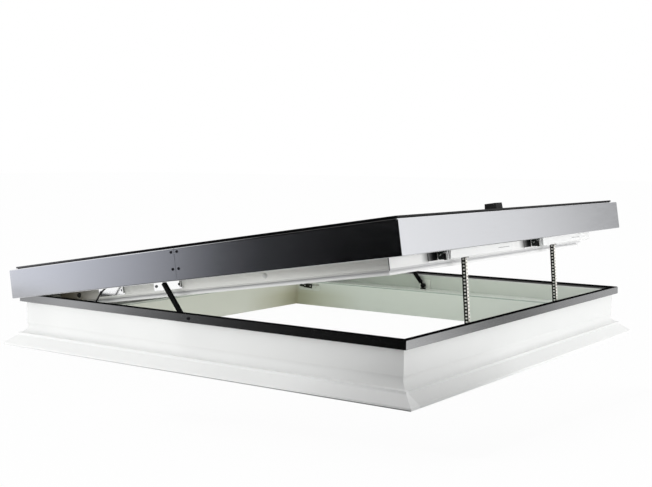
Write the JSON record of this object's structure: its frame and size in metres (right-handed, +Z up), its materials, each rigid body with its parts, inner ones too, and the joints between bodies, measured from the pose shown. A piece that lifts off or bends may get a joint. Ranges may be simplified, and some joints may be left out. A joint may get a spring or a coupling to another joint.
{
  "type": "roof skylight",
  "caption": "Square roof skylight with a flared white upstand and a flat glazed lid that chain drives push open on rear hinges, with gas struts beside the sash.",
  "frame": {"origin": "centre of the upstand's base, on the roof plane", "axes": "+Z up from the roof, +Y towards the hinges, -Y towards the opening side with the chain drives"},
  "size_m": [1.48, 1.48, 0.4699],
  "materials": {
    "upstand_white": "white moulded gel coat, satin",
    "cap_metal": "anthracite coated aluminium, satin",
    "skirt_metal": "grey metallic coated aluminium sheet, satin",
    "gasket_black": "black rubber",
    "sash_white": "white coated profile, satin",
    "glass_clear": "clear, green at the edge",
    "spacer_black": "black spacer and sealant",
    "polished_steel": "polished stainless steel",
    "hinge_steel": "zinc plated steel",
    "fixing_steel": "stainless steel",
    "plug_white": "white plastic cap",
    "plastic_black": "black plastic",
    "strut_black": "black coated steel",
    "drive_white": "white coated aluminium extrusion",
    "drive_dark": "dark plastic end caps",
    "chain_steel": "steel chain"
  },
  "bodies": {
    "frame": {"cap_front": "cap_metal", "cap_left": "cap_metal", "cap_rear": "cap_metal", "cap_right": "cap_metal", "cap_screws": "fixing_steel", "chain_anchor_left": "hinge_steel", "chain_anchor_right": "hinge_steel", "frame_gasket": "gasket_black", "hinge_frame_leaf_left": "hinge_steel", "hinge_frame_leaf_right": "hinge_steel", "hinge_pin_left": "fixing_steel", "hinge_pin_right": "fixing_steel", "lead_gland_frame": "plastic_black", "motor_lead": "plastic_black", "strut_foot_left": "hinge_steel", "strut_foot_right": "hinge_steel", "upstand": "upstand_white", "wall_bracket_left": "hinge_steel", "wall_bracket_right": "hinge_steel"},
    "lid": {"drive_bracket_left": "polished_steel", "drive_bracket_right": "polished_steel", "edge_gasket": "gasket_black", "glass_spacer": "spacer_black", "hinge_lid_leaf_left": "hinge_steel", "hinge_lid_leaf_right": "hinge_steel", "inner_pane": "glass_clear", "lead_gland_lid": "plastic_black", "outer_pane": "glass_clear", "plate_screws": "fixing_steel", "rain_sensor": "plastic_black", "sash_front": "sash_white", "sash_left": "sash_white", "sash_plugs": "plug_white", "sash_rear": "sash_white", "sash_right": "sash_white", "side_plate_left": "polished_steel", "side_plate_right": "polished_steel", "skirt_front": "skirt_metal", "skirt_rear": "skirt_metal", "splice_left": "skirt_metal", "splice_right": "skirt_metal", "splice_rivets": "fixing_steel", "strut_plate_left": "polished_steel", "strut_plate_right": "polished_steel"},
    "drive_left": {"drive_housing_left": "drive_white", "drive_ends_left": "drive_dark"},
    "chain_left": {"chain_left": "chain_steel"},
    "strut_tube_left": {"strut_tube_left": "strut_black"},
    "strut_rod_left": {"strut_rod_left": "polished_steel"},
    "drive_right": {"drive_housing_right": "drive_white", "drive_ends_right": "drive_dark"},
    "chain_right": {"chain_right": "chain_steel"},
    "strut_tube_right": {"strut_tube_right": "strut_black"},
    "strut_rod_right": {"strut_rod_right": "polished_steel"}
  },
  "joints": [
    {"name": "lid_hinge", "type": "hinge", "parent": "frame", "child": "lid", "pos_m": [0, 0.704, 0.122], "axis": [-1, 0, 0], "range_deg": [-8.72, 0], "deforming": ["chain_left", "chain_right", "motor_lead"]},
    {"name": "chain_left_lean", "type": "hinge", "parent": "frame", "child": "chain_left", "pos_m": [-0.282, -0.646, 0.11], "axis": [-1, 0, 0], "range_deg": [-4.51, 0]},
    {"name": "drive_left_tilt", "type": "hinge", "parent": "lid", "child": "drive_left", "pos_m": [-0.282, -0.62736, 0.34644], "axis": [-1, 0, 0], "range_deg": [0, 4.21]},
    {"name": "strut_left_foot", "type": "hinge", "parent": "frame", "child": "strut_tube_left", "pos_m": [-0.652, 0.038, 0.112], "axis": [1, 0, 0], "range_deg": [-10.92, 0]},
    {"name": "strut_left_head", "type": "hinge", "parent": "lid", "child": "strut_rod_left", "pos_m": [-0.652, 0.18849, 0.29647], "axis": [1, 0, 0], "range_deg": [-19.64, 0]},
    {"name": "chain_right_lean", "type": "hinge", "parent": "frame", "child": "chain_right", "pos_m": [0.308, -0.646, 0.11], "axis": [-1, 0, 0], "range_deg": [-4.51, 0]},
    {"name": "drive_right_tilt", "type": "hinge", "parent": "lid", "child": "drive_right", "pos_m": [0.308, -0.62736, 0.34644], "axis": [-1, 0, 0], "range_deg": [0, 4.21]},
    {"name": "strut_right_foot", "type": "hinge", "parent": "frame", "child": "strut_tube_right", "pos_m": [0.652, 0.038, 0.112], "axis": [1, 0, 0], "range_deg": [-10.92, 0]},
    {"name": "strut_right_head", "type": "hinge", "parent": "lid", "child": "strut_rod_right", "pos_m": [0.652, 0.18849, 0.29647], "axis": [1, 0, 0], "range_deg": [-19.64, 0]}
  ],
  "couplings": [
    {"joint": "chain_left_lean", "follows": "lid_hinge", "ratio": 0.51685},
    {"joint": "drive_left_tilt", "follows": "lid_hinge", "ratio": -0.48315},
    {"joint": "strut_left_foot", "follows": "lid_hinge", "ratio": 1.252},
    {"joint": "strut_left_head", "follows": "lid_hinge", "ratio": 2.252},
    {"joint": "chain_right_lean", "follows": "lid_hinge", "ratio": 0.51685},
    {"joint": "drive_right_tilt", "follows": "lid_hinge", "ratio": -0.48315},
    {"joint": "strut_right_foot", "follows": "lid_hinge", "ratio": 1.252},
    {"joint": "strut_right_head", "follows": "lid_hinge", "ratio": 2.252}
  ]
}
